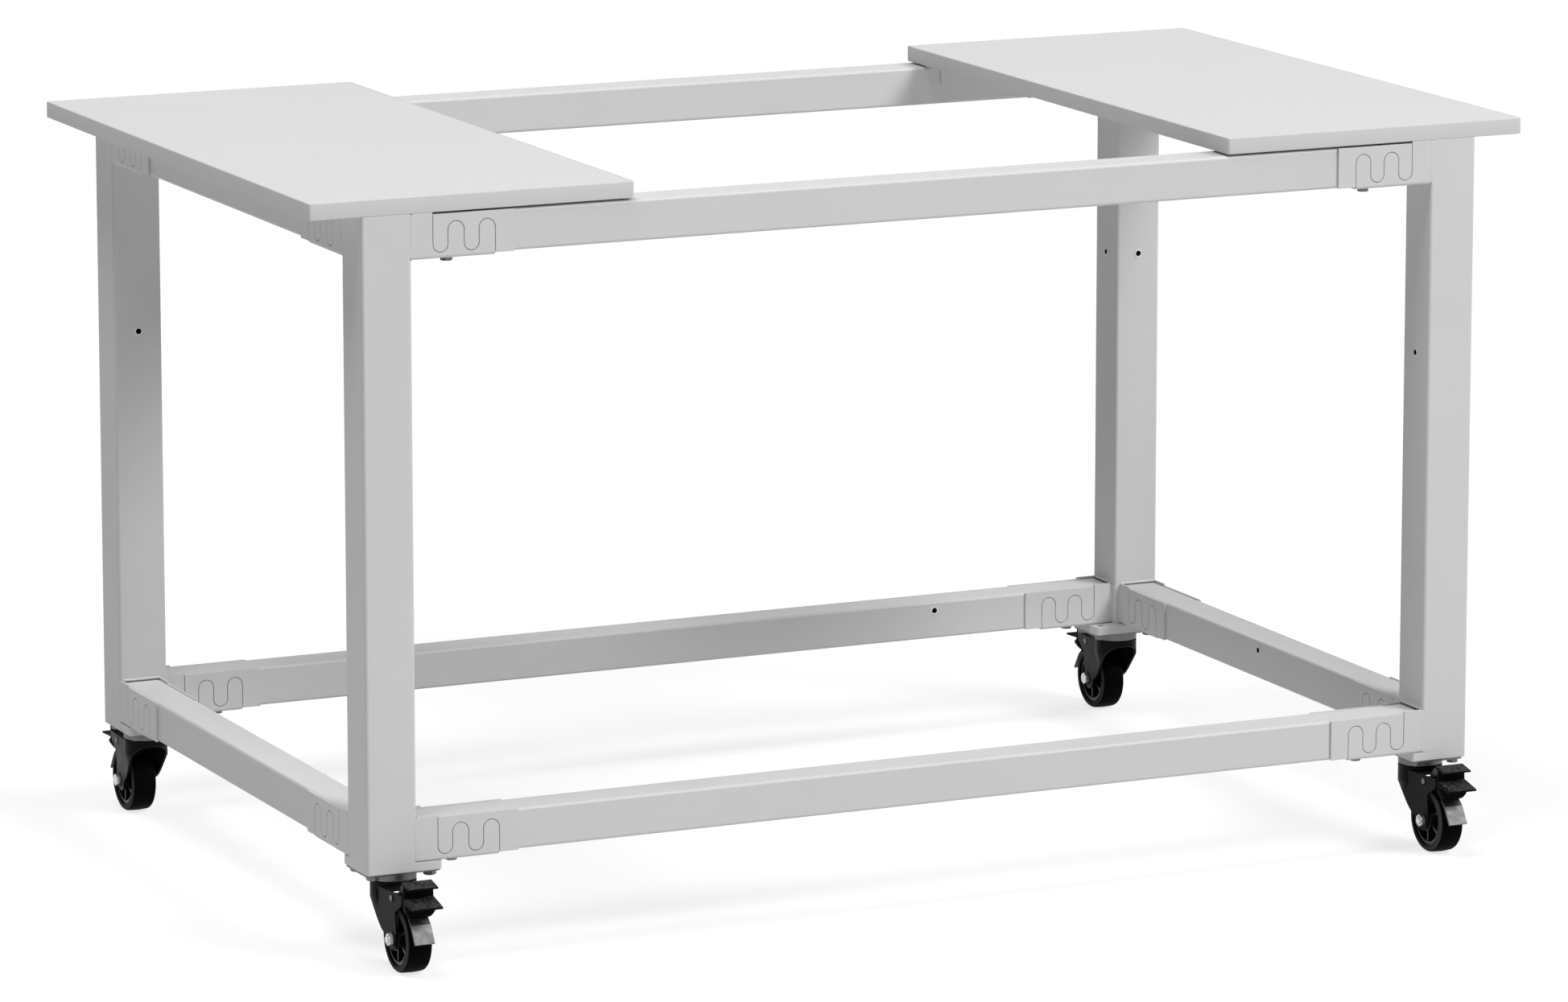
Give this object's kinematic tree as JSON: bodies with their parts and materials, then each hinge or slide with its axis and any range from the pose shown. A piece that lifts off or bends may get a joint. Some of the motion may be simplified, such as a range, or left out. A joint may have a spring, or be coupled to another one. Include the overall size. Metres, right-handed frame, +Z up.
{
  "type": "mobile machine stand",
  "caption": "Steel-tube stand on braked swivel castors, with hook-together corner joints and a board across each end, open between them for a bench machine.",
  "frame": {"origin": "on the floor under the middle of the stand", "axes": "+X to the right along the long rails, +Y to the back, +Z up; the castors trail to the front and to the back, as pictured"},
  "size_m": [1.536, 0.995, 0.88],
  "materials": {
    "painted_steel": "satin powder coat",
    "board": "fine matt laminate",
    "zinc": "bright zinc plate",
    "black_paint": "satin black",
    "black_plastic": "moulded nylon",
    "black_rubber": "matt"
  },
  "bodies": {
    "stand": {"leg_front_left": "painted_steel", "leg_front_right": "painted_steel", "leg_back_right": "painted_steel", "leg_back_left": "painted_steel", "foot_plates": "painted_steel", "top_rail_front": "painted_steel", "top_rail_right": "painted_steel", "top_rail_back": "painted_steel", "top_rail_left": "painted_steel", "bottom_rail_front": "painted_steel", "bottom_rail_right": "painted_steel", "bottom_rail_back": "painted_steel", "bottom_rail_left": "painted_steel", "brackets_front_left": "painted_steel", "brackets_front_right": "painted_steel", "brackets_back_right": "painted_steel", "brackets_back_left": "painted_steel", "top_rail_hooks": "painted_steel", "bottom_rail_hooks": "painted_steel", "joint_bolts": "zinc", "joint_washers": "zinc", "joint_nuts": "zinc", "threaded_inserts": "zinc", "board_left": "board", "board_right": "board", "board_tabs": "painted_steel", "board_screws": "zinc", "castor_plates": "zinc", "castor_bolts": "zinc", "king_pins": "zinc", "swivel_balls": "zinc"},
    "castor_front_left": {"fork_front_left": "black_paint", "axle_front_left": "zinc", "pedal_pin_front_left": "zinc"},
    "wheel_front_left": {"wheel_core_front_left": "black_plastic", "tyre_front_left": "black_rubber"},
    "brake_front_left": {"pedal_front_left": "black_paint", "brake_tongue_front_left": "zinc"},
    "castor_front_right": {"fork_front_right": "black_paint", "axle_front_right": "zinc", "pedal_pin_front_right": "zinc"},
    "wheel_front_right": {"wheel_core_front_right": "black_plastic", "tyre_front_right": "black_rubber"},
    "brake_front_right": {"pedal_front_right": "black_paint", "brake_tongue_front_right": "zinc"},
    "castor_back_right": {"fork_back_right": "black_paint", "axle_back_right": "zinc", "pedal_pin_back_right": "zinc"},
    "wheel_back_right": {"wheel_core_back_right": "black_plastic", "tyre_back_right": "black_rubber"},
    "brake_back_right": {"pedal_back_right": "black_paint", "brake_tongue_back_right": "zinc"},
    "castor_back_left": {"fork_back_left": "black_paint", "axle_back_left": "zinc", "pedal_pin_back_left": "zinc"},
    "wheel_back_left": {"wheel_core_back_left": "black_plastic", "tyre_back_left": "black_rubber"},
    "brake_back_left": {"pedal_back_left": "black_paint", "brake_tongue_back_left": "zinc"}
  },
  "joints": [
    {"name": "swivel_front_left", "type": "hinge", "parent": "stand", "child": "castor_front_left", "pos_m": [-0.6605, -0.3935, 0.095], "axis": [0, 0, 1], "continuous": true},
    {"name": "roll_front_left", "type": "hinge", "parent": "castor_front_left", "child": "wheel_front_left", "pos_m": [-0.6605, -0.4355, 0.0395], "axis": [1, 0, 0], "continuous": true},
    {"name": "brake_front_left", "type": "hinge", "parent": "castor_front_left", "child": "brake_front_left", "pos_m": [-0.6605, -0.4385, 0.088], "axis": [1, 0, 0], "range_deg": [0, 4]},
    {"name": "swivel_front_right", "type": "hinge", "parent": "stand", "child": "castor_front_right", "pos_m": [0.6695, -0.3845, 0.095], "axis": [0, 0, 1], "continuous": true},
    {"name": "roll_front_right", "type": "hinge", "parent": "castor_front_right", "child": "wheel_front_right", "pos_m": [0.6695, -0.4265, 0.0395], "axis": [1, 0, 0], "continuous": true},
    {"name": "brake_front_right", "type": "hinge", "parent": "castor_front_right", "child": "brake_front_right", "pos_m": [0.6695, -0.4295, 0.088], "axis": [1, 0, 0], "range_deg": [0, 4]},
    {"name": "swivel_back_right", "type": "hinge", "parent": "stand", "child": "castor_back_right", "pos_m": [0.6605, 0.3935, 0.095], "axis": [0, 0, 1], "continuous": true},
    {"name": "roll_back_right", "type": "hinge", "parent": "castor_back_right", "child": "wheel_back_right", "pos_m": [0.6605, 0.4355, 0.0395], "axis": [1, 0, 0], "continuous": true},
    {"name": "brake_back_right", "type": "hinge", "parent": "castor_back_right", "child": "brake_back_right", "pos_m": [0.6605, 0.4385, 0.088], "axis": [-1, 0, 0], "range_deg": [0, 4]},
    {"name": "swivel_back_left", "type": "hinge", "parent": "stand", "child": "castor_back_left", "pos_m": [-0.6695, 0.3845, 0.095], "axis": [0, 0, 1], "continuous": true},
    {"name": "roll_back_left", "type": "hinge", "parent": "castor_back_left", "child": "wheel_back_left", "pos_m": [-0.6695, 0.4265, 0.0395], "axis": [1, 0, 0], "continuous": true},
    {"name": "brake_back_left", "type": "hinge", "parent": "castor_back_left", "child": "brake_back_left", "pos_m": [-0.6695, 0.4295, 0.088], "axis": [-1, 0, 0], "range_deg": [0, 4]}
  ]
}
